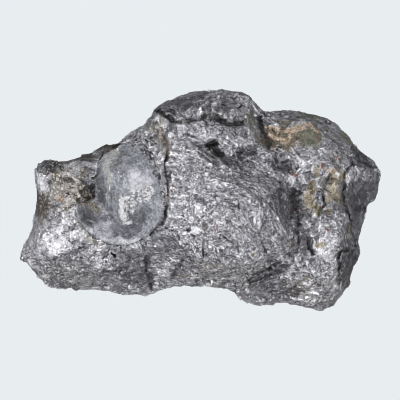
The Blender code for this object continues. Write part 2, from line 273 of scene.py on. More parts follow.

# broad flat faces: middle x, y, half length, half width, degrees, how much lighter as painted light and
# shade, how calm
oreFaces = {
    "slabTop": (40, 1.6, 5.8, 4.4, 20, -0.45, 0.8),
    "slabFoot": (38.8, -8, 6.5, 2.4, 80, -0.3, 0.7),
    "knobTop": (40.5, 9.8, 3.6, 1.8, -25, -0.5, 0.4),
    "knobCrest": (38, 7, 3.4, 1.2, 40, 0.1, 0),
    "eastFoot": (36.8, -17, 5, 2.1, 85, -0.6, 0.7),
    "bulgeTop": (32, -6.4, 4.2, 2.8, 10, 0.22, 0),
    "bulgeSide": (31.2, -11.6, 3.4, 3, 70, 0.55, 0.2),
    "bulgeFoot": (32.4, -18.8, 4.8, 2.6, 80, 0.25, 0.2),
    "valley": (25.8, -10.6, 3.4, 1.5, 85, -0.3, 0.5),
    "wedgeSide": (-17, -15.6, 4.4, 4.4, 20, -0.3, 0.5),
    "wedgeTop": (-9.4, -10.4, 4.6, 2.6, 6, -0.35, 0.5),
    "wedgeBack": (-26, -18.6, 5, 2.6, 10, 0, 0.2),
    "wedgeRidge": (-25.2, -14.8, 3.2, 1.2, 50, 0.25, 0.1),
    "tipTop": (-36.2, -10.4, 3.2, 2.5, 25, 0.45, 0.1),
    "tipSide": (-40.6, -7.8, 5.5, 1.8, 62, 0.05, 0.6),
    "tipFoot": (-41.2, -16.4, 3.6, 1.3, -38, 0.2, 0.1),
    "crownBlock": (1.2, 17.4, 3.8, 2.2, -5, 0.1, 0.5),
    "crownWest": (-5, 17.6, 2.8, 1.3, -5, -0.4, 0.2),
    "crownHollow": (-2.2, 14, 3, 1.5, -20, -0.3, 0.6),
    "crownSide": (13.3, 17.6, 3.2, 1.6, 80, 0, 0.7),
    "crownLump": (7.3, 21.4, 1.9, 1.5, 0, 0.2, 0),
    "crownEnd": (11.4, 24.6, 3.2, 1.5, -28, 0.3, 0),
    "crownTop": (-4, 24.6, 6, 1.6, 14, -0.1, 0.2),
    "crownBoss": (-3, 22.4, 2.6, 1.6, 15, -0.5, 0.4),
    "pitLedge": (6.3, 13.2, 2, 1.1, -48, 0.4, 0),
    "pitBridge": (10.6, 14.4, 2, 1.4, 0, 0.35, 0),
    "domeBrink": (6, 9.8, 3.6, 1.1, -25, -0.3, 0.5),
    "troughLump": (21.6, 10.4, 2.2, 1.5, 0, -0.1, 0.4),
    "shoulderTop": (25, 20.6, 7, 1.8, -6, -0.1, 0.3),
    "shoulderSide": (33.2, 16.6, 5, 2.4, -40, -0.1, 0.3),
    "bandLight": (-9, -18, 3.6, 1.9, 62, 0.4, 0),
    "bandLump": (-1.9, -18.3, 2.6, 1, 5, 0.4, 0),
    "bandMiddle": (5.4, -16.6, 4.4, 2.2, -8, 0.05, 0),
    "brow": (15.4, -18.4, 6, 1.6, 28, -0.35, 0.2),
    "apronLeft": (17.6, -22.6, 4.5, 1.8, -12, 0, 0.2),
    "apronRight": (27.4, -23.2, 3.4, 2.4, 40, 0.25, 0),
    "domeEast": (20.2, -0.6, 4.5, 2.5, 80, -0.25, 0.6),
}

# places where the outline is drawn outwards or pressed in: x, y, reach, move along x, along y
orePulls = {
    "westTip": (-44.6, -13.8, 2.4, -1.2, 0.1),
    "wedgeFoot": (-35, -22, 4.5, 0, -0.4),
    "blockTop": (-34.5, 10, 4, 0, -0.3),
    "backStrip": (-18, 15.6, 4, 0.3, -0.3),
    "topWest": (-13.6, 20.2, 2.6, 0.9, -0.8),
    "crownCorner": (-11.4, 22.8, 1.6, -0.4, 0.4),
    "crownWest": (-10, 24.4, 4, 0.2, -0.3),
    "crownTop": (4, 28, 6, 0, -0.25),
    "notch": (17.5, 22.4, 4, 0, -0.25),
    "shoulder": (34.5, 19, 4, -0.3, -0.3),
    "knobNotch": (39.2, 13.8, 2.2, -1.1, -1),
    "knob": (42.6, 10.6, 2, 0.4, 0.4),
    "eastSide": (40.6, -7, 4, 0.25, 0),
    "eastNook": (39.2, -10, 1.4, -0.6, 0),
    "eastNub": (40.2, -13, 1.1, 0.8, 0),
    "footNook": (38.4, -17.2, 1.4, -0.5, 0),
    "footNub": (37.4, -20.8, 0.9, 0.5, -0.2),
    "westNook": (-40.8, -1.6, 1.8, 0.6, 0),
    "bandFoot": (-10, -23, 4, 0, -0.35),
    "bulgeFoot": (34, -25, 3, 0.5, -0.2),
    "apron": (14, -26.4, 4, -0.1, -0.1),
}

# grooves and pits: half the width, the depth, then the line
oreCracks = {
    "gully": (0.8, 1.2, (-11.5, 18.5), (-9.8, 15.5), (-8.2, 12.5)),
    "rustCrack": (0.3, 1.6, (-8.2, 12.5), (-8.6, 9), (-8.3, 5.5), (-7.9, 2), (-8.3, -1.3), (-8.9, -4.2),
        (-9.6, -5.7)),
    "bulgeCrack": (0.3, 1.3, (30, -1.3), (28.1, -5.3), (26.6, -9), (27, -11.5), (27.8, -13.4)),
    "ochreCleft": (0.26, 1.4, (31.8, 6), (31, 3.6), (30.1, 1.6), (30.9, -0.8), (29.6, -2.6),
        (28.8, -4.4)),
    "ochreSplit": (0.25, 0.8, (27.6, 4.6), (27, 1.8), (27.8, -0.6)),
    "crevice": (0.55, 1.7, (-8.6, 23), (-5.3, 20.8), (-3, 19.6), (-1.6, 20.2), (3.8, 20.8), (5, 19.5),
        (7, 18.8), (10, 19)),
    "crownEye": (0.3, 0.9, (-3.2, 16.4), (-1.4, 15.9), (0.4, 15.4)),
    "crownSlit": (0.3, 0.9, (5.4, 23.9), (7.4, 23), (9.8, 23.2)),
    "creviceWest": (0.45, 1.8, (-12.4, 22.8), (-9, 21.6), (-7.4, 20), (-5, 19.4)),
    "bossEdge": (0.3, 0.9, (-5.4, 24.4), (-5.6, 22.6), (-4.9, 20.6)),
    "pitWest": (0.9, 2, (2.2, 13.8), (3.6, 12.9), (4.8, 11.8)),
    "pitEast": (0.6, 1.2, (9.6, 11.8), (12, 11.6), (14, 12.2)),
    "pitLow": (0.7, 1.1, (10.2, 11), (11.2, 9.8)),
    "notch": (0.6, 1.8, (14.4, 20.5), (15.2, 17.4), (16.8, 15.5), (17, 13)),
    "troughSide": (0.4, 1, (19, 12.6), (18.7, 10.6), (19.4, 9)),
    "trough": (0.8, 0.9, (17.8, 9.8), (19.75, 8.2), (22, 7)),
    "groove": (0.9, 0.7, (24, 3.4), (23.2, 0.8), (24, -1.6)),
    "grooveFoot": (0.3, 1, (24.4, -4), (24.1, -6.4), (24.4, -9.3), (23.8, -12.4)),
    "eastSeam": (0.35, 1.8, (36.4, -12.4), (34.3, -13), (34.3, -15), (34.2, -18), (34.5, -21)),
    "eastFold": (0.26, 1.3, (37.6, 9), (35.3, 6.3), (35.4, 1.9), (35.6, -1.3), (36.9, -3.8), (37.8, -8),
        (38.6, -11.6)),
    "eastEye": (0.7, 1.4, (38.4, 0.8), (38.9, -1.8)),
    "knobFoot": (0.3, 0.9, (38.6, 12.6), (39.6, 9.8), (41.8, 8.6), (43.6, 8.2)),
    "wedgeSlit": (0.3, 2.2, (-22.4, -12.1), (-21.2, -13.8)),
    "wedgeCrease": (0.3, 0.9, (-13.4, -13.8), (-13.2, -17.5), (-12.3, -22.5)),
    "lipPits": (0.35, 1.2, (-12.4, -8.4), (-11, -6.6), (-9.6, -5.9)),
    "westCap": (0.4, 0.8, (-40.5, 7.6), (-38, 6.8), (-35.5, 7), (-33.5, 8.4)),
    "westChip": (0.3, 0.7, (-38.2, 6.6), (-37.2, 4), (-38, 1.9)),
    "westSeam": (0.3, 0.6, (-38.5, -2.2), (-36, -1), (-32.5, -2.4), (-31.5, -5)),
    "tipSeam": (0.35, 0.8, (-38.6, -14.9), (-36, -14.4), (-32.7, -12.8), (-29, -12.1)),
    "wedgeEdge": (0.2, 0.8, (-18.7, -11.2), (-13.7, -9), (-11.2, -7.5), (-8.7, -7), (-5.6, -7.4),
        (-5, -9.6)),
    "bandSplit": (0.4, 0.9, (-4.4, -14.8), (-6, -17.6), (-7.8, -20.5)),
    "bandFoot": (0.25, 0.6, (-3.6, -20), (1, -19.6), (5, -20.2), (9, -20.6)),
    "bandLine": (0.15, 0.8, (0.6, -10), (0.5, -12.4), (0.8, -14.6)),
    "domeNick": (0.3, 0.9, (5.6, -9), (7.4, -10.2)),
    "domeArch": (0.25, 0.8, (-6.4, -5.3), (-5, -4.3), (-3.8, -4.6)),
    "crystalPit": (0.35, 1.4, (-2.9, -7), (-2.6, -7.3)),
    "crystalFoot": (0.25, 0.7, (-2.2, -8.4), (-0.6, -8.8), (0, -7.6)),
    "browSeam": (0.35, 1.2, (10.6, -20.8), (13.1, -18.7), (17.5, -16.4), (20, -15)),
    "browFoot": (0.25, 0.8, (8.6, -20.6), (12.4, -20.2), (15.6, -19.2), (18.8, -17.6)),
    "browPit": (0.6, 1.2, (18.4, -17.2), (20.8, -18)),
    "browSplit": (0.25, 0.9, (15.4, -10), (15.9, -12.8)),
    "shoulderSeam": (0.3, 0.5, (17, 9.5), (22, 9.9), (27.5, 9.6), (31, 11.5)),
    "matrixHoles": (0.5, 1.2, (-34, 5.4), (-31.6, 4.2), (-28.6, 1.2), (-27.4, -0.4)),
}

# painted shade in hollows and painted highlights and glints on patches that stand out: middle x, y,
# half length, half width, degrees, how much lighter
orePaintedShadeAndHighlights = {
    "crownTop": (0, 24, 10, 2.2, -5, -0.3),
    "crevice": (3, 20.4, 5.5, 0.6, -8, -0.4),
    "creviceWest": (-8.6, 21.2, 3.4, 0.7, -32, -0.5),
    "pitWest": (3.8, 12.8, 2, 1.3, -35, -0.6),
    "pitEast": (11.8, 11, 2.9, 1.7, -20, -0.5),
    "trough": (20.2, 8.8, 2.8, 1.6, -10, -0.5),
    "notch": (15.6, 17, 0.9, 3.2, 10, -0.6),
    "groove": (23.6, 0.8, 1.9, 3.4, -5, -0.65),
    "valley": (25.2, -8, 2, 5, 8, -0.38),
    "brow": (18.5, -17.8, 4, 1.5, 30, -0.4),
    "apron": (19, -21.5, 6, 2, -10, -0.55),
    "bowl": (-27.8, 4.2, 2.2, 4.6, 20, -0.7),
    "westCap": (-37.2, 8.8, 4.6, 1.4, 0, -0.95),
    "westEdge": (-39.6, -1.4, 1.8, 3, 0, -0.8),
    "backStrip": (-26, 11.8, 6.6, 2, 22, -1),
    "wedgeFoot": (-34.8, -20.6, 3.8, 1.4, -20, -0.35),
    "tipShade": (-32, -14, 5.5, 0.9, 12, -0.3),
    "crease": (-12.6, -17.6, 1.1, 3.6, 4, -0.45),
    "bandShade": (-5.4, -16.4, 0.9, 2.6, -30, -0.35),
    "westFacet": (-35.4, -9.6, 3.2, 3.6, 30, 0.28),
    "westLip": (-33.2, -5.2, 1.6, 1, 0, 0.6),
    "domeSilver": (-1, 1, 7, 7, -35, 0.12),
    "ochreGround": (29.5, 1.6, 5, 6, 0, -0.25),
    "domeEast": (19.8, -1.6, 2.8, 6.5, 14, -0.28),
    "domeBrow": (9.6, 7.8, 5, 1.2, -38, -0.25),
    "domeFoot": (13, -13.6, 5, 2.6, 35, 0.3),
    "crownGlint": (4, 24.2, 0.9, 1.5, 0, 0.6),
    "gullyWest": (-9.4, 19, 1.8, 1.6, 0, 0.4),
    "gullyEast": (-4.8, 10.6, 2.4, 2, -50, 0.35),
    "troughEast": (28.5, 10.4, 4.5, 1.6, 0, 0.15),
    "shoulderGlint": (18.9, 18.9, 1.4, 0.3, -15, 0.8),
    "crustGlint": (24.6, 19.5, 1.5, 0.3, 0, 0.7),
    "apronGlint": (26.8, -23.4, 3, 1.2, 20, 0.35),
}

# stains and crusts, each as spots: x, y, half length, half width, degrees
oreStains = {
    "matrix": ((-33.6, 3.2, 4.2, 3.6, 0), (-30.4, 7.4, 3, 2.6, 0), (-31.6, 0.2, 2.6, 2.4, 0),
        (-26.8, -9, 2.4, 1.4, -25), (-10.6, 19.2, 1.6, 2.2, -30), (-9.2, 14.6, 1.2, 3.4, 22)),
    "earth": ((-39.2, -1.4, 2.3, 3.6, 0), (-26.4, 11.8, 6.6, 1.7, 22), (-28.2, 2, 1.1, 2.8, 30),
        (-30.2, 1, 0.9, 1.2, 0), (-36, 6.6, 1, 1.4, 0), (-32, 3.2, 0.7, 0.7, 0),
        (16.4, 16.4, 0.6, 1.6, 0), (-8.7, 14.6, 0.5, 2.6, 20), (-9.6, 17.8, 0.5, 1.2, 30)),
    "tan": ((18, 18.1, 2, 0.6, -15), (21.3, 17.3, 1.7, 0.7, -10), (23.7, 17.8, 1.5, 0.7, 25),
        (26, 18.6, 1.5, 0.6, 16), (17.8, 15.9, 1.6, 0.7, -28), (20.4, 14.9, 1.7, 0.7, -16),
        (22.1, 15.9, 1.2, 0.5, -62), (28.3, 17.8, 1.3, 0.4, -35), (19.4, 16.8, 0.9, 0.4, 40),
        (-10, 16.4, 0.3, 0.7, 20), (-8.4, 11.4, 0.3, 0.6, 0), (32.2, 7.2, 0.7, 0.9, 0),
        (-34.6, 0.4, 1, 0.7, 0), (13.4, -13.3, 0.4, 0.4, 0)),
    "crust": ((20.4, 15.8, 4.8, 2.9, 0), (24.6, 16.6, 4, 2.8, 10), (28, 16, 2.6, 2.7, 0)),
    "green": ((26.6, 15, 2.2, 2.4, 0), (27.4, 21, 3, 0.7, -10), (12.6, 20, 1.3, 2.2, 10),
        (37.2, 14.6, 2.4, 0.4, -45), (-29.6, -5.4, 0.8, 1, 0), (2.4, 20.9, 2, 0.4, 0),
        (30.4, 3.4, 0.6, 1.6, -12)),
    "ochre": ((26.8, 1.4, 1.4, 3.8, -10), (36.6, 15.2, 2.2, 0.5, -50), (28.8, -2.4, 1.2, 1.2, 0),
        (32.6, 3.4, 1.3, 4.2, -10), (33.8, 1.4, 1, 2.4, 0), (31.4, -2.8, 0.9, 1.4, 0),
        (28.6, 6.6, 0.8, 1.8, 0), (35, 6, 1, 1.2, 0), (30.6, 7.8, 0.6, 1.2, 0), (37.2, -7.6, 0.4, 2.2, 0),
        (28.9, -11, 1.2, 0.9, 0)),
    "rust": ((23.6, 6.2, 1.1, 0.3, 0), (30, 8.6, 0.3, 0.8, -15), (33.4, 10.8, 1.2, 0.35, -40),
        (36.6, 9.4, 0.35, 0.35, 0), (23.9, -2.2, 0.35, 0.8, 0), (27, -8.4, 0.22, 1, -10),
        (31.4, -7.2, 0.8, 0.22, -20), (27.7, -13, 0.3, 0.4, 0), (4.1, -7, 0.2, 1.1, 10),
        (-6.2, 3.6, 0.9, 0.2, 10), (-7.2, 2.8, 0.22, 0.6, 0), (-0.6, 5.4, 0.7, 0.18, 40),
        (-8, 9.6, 0.22, 1, 10), (-8.3, 0.4, 0.22, 1.4, 5), (-7, 9.4, 0.35, 0.4, 0),
        (17, 15.4, 0.4, 0.4, 0)),
    "brown": ((0.9, -6.4, 0.55, 1.5, 0), (-0.8, -9.6, 1.3, 0.5, 25), (22.5, -10.8, 0.8, 0.9, 0),
        (-3, -10.6, 0.6, 0.8, 0), (3.6, -16.4, 3, 0.8, 10), (-4.2, -18.6, 1.6, 0.6, 0),
        (24.8, -20.4, 2, 0.8, 30), (8.6, -23.6, 3, 0.6, -8)),
    "quartzy": ((-9.6, 5.4, 0.6, 3.4, -4), (-9.7, -1.2, 0.7, 3.6, 3), (-30.7, 7.6, 1.5, 2.2, 0),
        (-28.2, 9.2, 1.6, 0.6, 0), (-31.2, -3, 0.5, 2.6, 8), (-23, -9.6, 3.6, 1.2, -20),
        (-18, -11, 3, 0.7, 8), (-27.5, -7.6, 1.6, 0.9, -40), (-32.6, 9, 1.6, 0.7, 20),
        (-33, -5.2, 1.4, 0.9, 0)),
    "oval": ((-39.2, 4.4, 1.4, 2.5, 12),),
    "white": ((-1.5, -7.2, 1.3, 0.85, -8), (11.6, -22.4, 0.5, 0.6, 0), (-10.9, 20.2, 0.6, 0.8, 0),
        (27.6, -22.8, 0.6, 0.4, 30), (20, -14.2, 0.3, 0.7, -10), (-24.4, -8.6, 1.6, 0.7, -20)),
}
oreSpeckle = ((28, -22, 10, 3.6, 5), (6, -18, 8, 3.5, 0), (-34, -19, 8, 3, -30), (-34, 2, 6, 7, 0))


def partsOf(places, normals):
    # flow is each point's place along and across the foliation of its part of the surface, and
    # crossWay the direction across it
    size, wander, bend, waver, lean = ore["flow"]
    wobble = np.stack([roughNoise(places, size, 2, seed) for seed in (11, 12)], axis=1)
    best = np.full(len(places), np.inf)
    flow, crossWay = np.zeros((len(places), 3)), np.zeros((len(places), 3))
    foliated, hackly = np.zeros(len(places)), np.zeros(len(places))
    for number, (x, y, reach, degrees, foliation, hackle) in enumerate(oreParts.values()):
        c, s = math.cos(math.radians(degrees)), math.sin(math.radians(degrees))
        away = np.hypot(*(places[:, :2] - (x, y) + wander * wobble).T) / reach
        along, across = turned(places, x, y, degrees)
        bent = across + bend * along ** 2 + waver * wobble[:, 0]
        own = np.stack([along + 17 * number, bent, places[:, 2]], axis=1)
        ownCross = np.stack([lean * along * c - s, lean * along * s + c, 0 * along], axis=1)
        closer = away < best
        flow = np.where(closer[:, None], own, flow)
        crossWay = np.where(closer[:, None], ownCross, crossWay)
        foliated = np.where(closer, foliation, foliated)
        hackly = np.where(closer, hackle, hackly)
        best = np.where(closer, away, best)
    crossWay -= normals * alongNormals(crossWay, normals)[:, None]
    return flow, unit(crossWay), foliated, hackly


def flatten(places, normals, size, lean, pull, seed):
    # each chip is pulled towards a plane of its own, which leans a little; the second result is a
    # number from 0 to 1 for each chip
    shift = drift(places, 0.6 * size, seed) * 0.22 * size
    shift[:, 2] += np.where(normals[:, 2] < 0, -90, 0)  # top and underside never share a chip
    number, _ = chipsOf(places + shift, size, seed)
    _, member = np.unique(number, return_inverse=True)
    count = np.bincount(member)

    def meanOf(values):
        return np.stack([np.bincount(member, values[:, i]) for i in range(3)], axis=1) / count[:, None]

    draws = np.stack([np.modf(number * factor)[0] for factor in (37, 611, 9241)], axis=1)
    facing = unit(meanOf(normals) + (meanOf(draws) - 0.5) * 2 * lean, 1e-9)
    off = alongNormals(places - meanOf(places)[member], facing[member])
    return -np.clip(off, -pull, pull)[:, None] * facing[member], number


def drawOutline(places):
    moved = np.zeros_like(places)
    for x, y, reach, alongX, alongY in orePulls.values():
        share = np.exp(-((places[:, 0] - x) ** 2 + (places[:, 1] - y) ** 2) / reach ** 2)
        moved[:, :2] += share[:, None] * (alongX, alongY)
    return places + moved


def cutFaces(places, normals):
    # draws each broad face to the plane through its middle; returns how much lighter each point is painted,
    # as painted light and shade, and how calm the faces make each point
    paintedLightAndShade, calm = np.zeros(len(places)), np.zeros(len(places))
    upward = smoothStep(normals[:, 2], 0.02, 0.2)
    depth = ore["faceDepth"]
    for number, (*spot, paintedShading, calmness) in enumerate(oreFaces.values()):
        share = patch(places, (spot,), *ore["faceEdge"], 500 + 7 * number) * upward
        inside = share > 0.5
        facing = normals[inside].mean(axis=0)
        facing /= np.linalg.norm(facing)
        off = (places - places[inside].mean(axis=0)) @ facing
        places = places - (np.clip(off, -depth, depth) * share * ore["facePull"])[:, None] * facing
        edge = 4 * share * (1 - share)
        places[:, 2] -= ore["edgeCrease"] * edge
        # the face's lightness is painted light and shade, and its crease is painted darker as painted shade
        paintedLightAndShade += paintedShading * share - ore["edgeShade"] * edge
        calm = np.maximum(calm, calmness * share)
    return places, paintedLightAndShade, calm


def closeUp(places, normals, quartzSurface, reach):
    # the ore is drawn against the quartz that it holds, but not its outer side where the wall is thin
    near, far = reach
    west, east = ore["socketSpan"]
    mean, spread = ore["lap"]
    lap = mean + spread * roughNoise(places, 1.6, 2, 19)
    for index in np.flatnonzero((places[:, 0] > west) & (places[:, 0] < east)):
        here = Vector(places[index] * mm)
        target, facing, _, distance = quartzSurface.find_nearest(here, far * mm)
        if target is not None:
            towards = Vector(normals[index]).dot((target - here).normalized())
            share = (1 - smoothStep(distance / mm, near, far)) * smoothStep(towards, -0.6, -0.1)
            goal = np.array(target) / mm + np.array(facing) * lap[index]
            places[index] += (goal - places[index]) * share
    return places


def crackDepths(places):
    # how far each point sinks into the cracks, which have ragged sides
    depth = np.zeros(len(places))
    wander, widening, size = ore["crackEdge"]
    mean, spread, change = ore["crackDepth"]
    ragged = roughNoise(places, size, 3, 3)
    patchy = mean + spread * smoothNoise(places, change, 4)
    for halfWidth, deepest, *line in oreCracks.values():
        away = awayFromLine(places + wander * ragged[:, None], line)
        share = 1 - smoothStep(away / halfWidth + widening * ragged, *ore["crackSides"])
        depth = np.maximum(depth, share * deepest * patchy)
    return depth


def roughen(places, normals, flow, foliated, hackly):
    # lumps, flats, terraces, scales and grain; also returns how much lighter each chip is
    flatOn = smoothStep(normals[:, 2], 0.1, 0.5)  # the flanks have no lumps or scales
    for seed, (size, height) in enumerate(ore["lumps"]):
        shift = drift(places, size, 25) * ore["lumpDrift"] * size
        lump = np.minimum(np.abs(smoothNoise(places + shift, size, 21 + seed)) * 2.2, 1) - 0.5
        places = places + normals * (height * hackly * flatOn * lump)[:, None]
    chipTone = np.zeros(len(places))
    rim = ore["flatRim"]
    inner = rim + (1 - rim) * smoothStep(np.abs(normals[:, 2]), 0.1, 0.4)  # the outline keeps its shape
    for seed, (size, lean, pull) in enumerate(ore["flats"]):
        moved, number = flatten(places, normals, size, lean, pull, 40 + seed * 9)
        places = places + moved * (hackly * inner)[:, None]
        chipTone += (number - 0.5) * hackly * 0.5
    sizes, height = ore["terraces"]
    size, amount = ore["terraceDrift"]
    warped = flow + drift(flow, size, 31) * amount
    crest = 1 - 2 * np.abs(smoothNoise(warped / np.array(sizes), 1, 34))
    places = places + normals * (height * foliated * flatOn * crest)[:, None]
    for seed, (sizes, height) in enumerate(ore["scales"]):
        # overlapping scales: each leans its own way and ends in a small step
        first = 60 + seed * 9
        warped = flow + drift(flow, sizes[1], first) * ore["scaleDrift"] * sizes[1]
        _, step = chipsOf(warped / np.array(sizes), 1, first)
        places = places + normals * (height * foliated * flatOn * step)[:, None]
    size, height = ore["grain"]
    rise = height * roughNoise(places, size, 2, 9) - ore["slimming"] * (1 - flatOn)
    return places + normals * rise[:, None], chipTone


def sculptOre(piece, quartzSurface):
    places, normals = pointsOf(piece)
    places = drawOutline(neighbourMean(piece, places, ore["softening"]))
    places, paintedLightAndShade, calm = cutFaces(places, normals)
    first, second = ore["socketReach"]
    places = closeUp(places, normals, quartzSurface, first)
    flow, crossWay, foliated, hackly = partsOf(places, normals)
    foliated, hackly = neighbourMean(piece, np.stack([foliated, hackly], axis=1), 8).T
    hackly = hackly * (1 - ore["calming"] * calm)
    places, chipTone = roughen(places, normals, flow, foliated, hackly)
    places = closeUp(places, normals, quartzSurface, second)
    places[:, 2] += ore["crystalHeight"] * patch(places, (ore["crystal"],), *ore["crystalEdge"], 17)
    depth = crackDepths(places) * np.clip(normals[:, 2] * 3, 0, 1)
    places[:, 2] = np.maximum(places[:, 2] - depth, 0)
    movePoints(piece, places)
    storeVector(piece, "flow", flow)
    storeVector(piece, "crossWay", crossWay)
    storeMask(piece, "foliated", foliated)
    storeMask(piece, "chip", 0.5 + chipTone)
    storeMask(piece, "crack", depth / 1.2)
    storeMask(piece, "calm", calm)
    return paintedLightAndShade


# how far a point lies below its neighbourhood, painted as shade in hollows and as highlight on crests:
# rounds that spread the neighbourhood, how strongly the depth shows
hollowShading = {"hollow": (14, 1.3), "dellShading": (70, 0.8)}


def paintHollowShading(piece, name, places, normals):
    rounds, strength = hollowShading[name]
    depth = alongNormals(neighbourMean(piece, places, rounds) - places, normals)
    storeMask(piece, name, 0.5 + strength * depth)


def paintOre(piece, paintedLightAndShade):
    places, normals = pointsOf(piece)
    upward = smoothStep(normals[:, 2], -0.1, 0.25)
    paintHollowShading(piece, "hollow", places, normals)
    # painted shade and highlights, added to the painted light and shade of the broad faces
    for number, (*spot, paintedShading) in enumerate(orePaintedShadeAndHighlights.values()):
        paintedLightAndShade = paintedLightAndShade + paintedShading * patch(places, (spot,), *ore["paintedShadingEdge"], 100 + number)
    storeMask(piece, "paintedShading", 0.5 + 0.5 * np.clip(paintedLightAndShade, -1, 1) * upward)
    for number, (name, spots) in enumerate(oreStains.items()):
        storeMask(piece, name, patch(places, spots, *ore["stainEdge"], 200 + 9 * number) * upward)
    storeMask(piece, "speckle", patch(places, oreSpeckle, *ore["speckleEdge"], 300) * upward)


quartz = {
    "faceSize": 0.28,
    "softening": 3,
    "sharpFold": 20,
    "flats": ((3.8, 0.2, 0.5), (1.7, 0.35, 0.2), (0.9, 0.35, 0.1)),
    "collar": 0.6,  # how far its sides spread into the ore
    "raggedRim": (1.5, 0.5),  # size, reach
    "formDrift": (2, 0.3),
    "flakeHeight": 0.3,
    "dirtHeight": 0.25,
    "grain": (1.6, 0.05),  # size, height
}
# ridges and hollows: half the width, the rise, then the line
quartzForms = {
    "brow": (0.8, 0.5, (-20.6, 13), (-22.8, 9.8), (-22.9, 6), (-22.2, 2.6), (-20.6, -0.6)),
    "bowl": (2.2, -0.8, (-28.2, -2.4), (-26.8, -4), (-24, -5.6)),
    "hollow": (1.3, -0.9, (-25.6, 7.6), (-25.3, 4.2), (-24.2, 0.8)),
    "fold": (0.5, -0.35, (-13.6, -1.4), (-16.2, -3.2), (-17.2, -5.4), (-18.6, -7)),
    "flake": (0.7, 0.5, (-19.7, 0.6), (-19.4, -2.6), (-18.4, -5.2)),
    "sill": (0.6, 0.4, (-18.9, 0.6), (-16.8, 1.2), (-14.4, 2.4)),
}
# marks: how soft the edge is, then the spots
quartzMarks = {
    # milkAndHighlight is partly milky quartz and partly a painted highlight on the top of the boss
    "milkAndHighlight": (0.95, (-14.8, 4.4, 3, 3.2, 0), (-13.4, 1.6, 1.8, 1.6, 0), (-24, -6.6, 2.4, 1.2, -30)),
    "flake": (0.12, (-19.4, -1.2, 0.7, 2, 4), (-18.8, -4, 0.9, 1.7, 14), (-18, -5.6, 1, 0.5, 10),
        (-18.4, 0.6, 1.4, 0.5, 14)),
    "broken": (0.4, (-17, -1.2, 1.3, 1.8, -20), (-14.2, 1.4, 2.2, 1.6, 20), (-12.6, 3, 1, 1, 0)),
    "stars": (0.4, (-19.6, 6, 0.5, 0.2, 40), (-20.2, 7, 0.2, 0.3, 0), (-22.5, 3, 0.12, 0.7, 0),
        (-20.6, 12.6, 0.3, 0.5, 0), (-23.2, -5.4, 0.25, 0.25, 0)),
    "pale": (0.9, (-21.6, 11.6, 1.2, 2.4, -38), (-23.2, 8.6, 1.2, 1.8, 0), (-22.8, 4, 0.7, 3.2, -5)),
    "lip": (0.6, (-31, -2, 0.5, 2, -10), (-24.6, -8.4, 3, 1.1, -28), (-20.4, -9.9, 2.8, 0.9, -12),
        (-15.6, -9.8, 1.8, 0.6, 10)),
    "shade": (0.8, (-27.8, -3.6, 3.2, 3.4, 0), (-25.4, 4, 1.6, 5, 6), (-15, -4, 1.6, 1.2, 30),
        (-20.6, 9, 1.2, 1.6, 0)),
    "earth": (0.5, (-28.6, -0.6, 1.6, 0.9, 20), (-26.6, -1.4, 1.3, 0.8, -30), (-25.4, -2.4, 0.6, 1, 20),
        (-27.2, 1.2, 0.8, 1.6, 0)),
    "metal": (0.4, (-15.6, 15.6, 5, 1.8, -6), (-12.8, 12.8, 2.4, 1.6, -40), (-10.6, 8.6, 1.4, 3.6, 20)),
}


def quartzMark(places, name, wander, size, seed):
    soft, *spots = quartzMarks[name]
    return patch(places, spots, wander, soft, size, seed)


def sculptQuartz(piece):
    places, normals = pointsOf(piece)
    places = neighbourMean(piece, places, quartz["softening"])
    top = smoothStep(normals[:, 2], 0.2, 0.6)
    size, reach = quartz["raggedRim"]
    spread = quartz["collar"] + reach * roughNoise(places, size, 2, 12)
    places = places + unit(normals * (1, 1, 0)) * ((1 - top) * spread)[:, None]
    size, wander = quartz["formDrift"]
    for halfWidth, rise, *line in quartzForms.values():
        away = awayFromLine(places + wander * roughNoise(places, size, 2, 15)[:, None], line)
        places[:, 2] += rise * np.exp(-(away / halfWidth) ** 2) * top
    broken = np.maximum(quartzMark(places, "broken", 0.3, 2, 5), quartzMark(places, "metal", 0.3, 2, 8))
    for seed, (size, lean, pull) in enumerate(quartz["flats"]):
        moved, _ = flatten(places, normals, size, lean, pull, 80 + seed * 9)
        places = places + moved * (0.5 + broken)[:, None]
    rise = quartz["flakeHeight"] * quartzMark(places, "flake", 0.5, 1.6, 6)
    rise += quartz["dirtHeight"] * quartzMark(places, "earth", 0.5, 1.2, 408) * roughNoise(places, 0.9, 2, 7)
    size, height = quartz["grain"]
    rise += height * roughNoise(places, size, 3, 31)
    movePoints(piece, places + normals * rise[:, None])


def paintQuartz(piece):
    places, normals = pointsOf(piece)
    for name in hollowShading:
        paintHollowShading(piece, name, places, normals)
    for number, name in enumerate(quartzMarks):
        storeMask(piece, name, quartzMark(places, name, 0.5, 1.3, 400 + 9 * number))


quartzLens = copyOfNode("quartz_lens", "quartzLens")
applyModifier(quartzLens, "REMESH", mode="VOXEL", voxel_size=quartz["faceSize"] * mm)
sculptQuartz(quartzLens)
paintQuartz(quartzLens)
sharpen(quartzLens, quartz["sharpFold"])
print("quartz sculpted:", len(quartzLens.data.loop_triangles), "triangles")

oreLump = copyOfNode("skutterudite_ore", "oreLump")
applyModifier(oreLump, "REMESH", mode="VOXEL", voxel_size=ore["faceSize"] * mm)
quartzSurface = BVHTree.FromObject(quartzLens, bpy.context.evaluated_depsgraph_get())
paintOre(oreLump, sculptOre(oreLump, quartzSurface))
applyModifier(oreLump, "DECIMATE", ratio=ore["keptFaces"])
sharpen(oreLump, ore["sharpFold"])
print("ore sculpted:", len(oreLump.data.loop_triangles), "triangles")


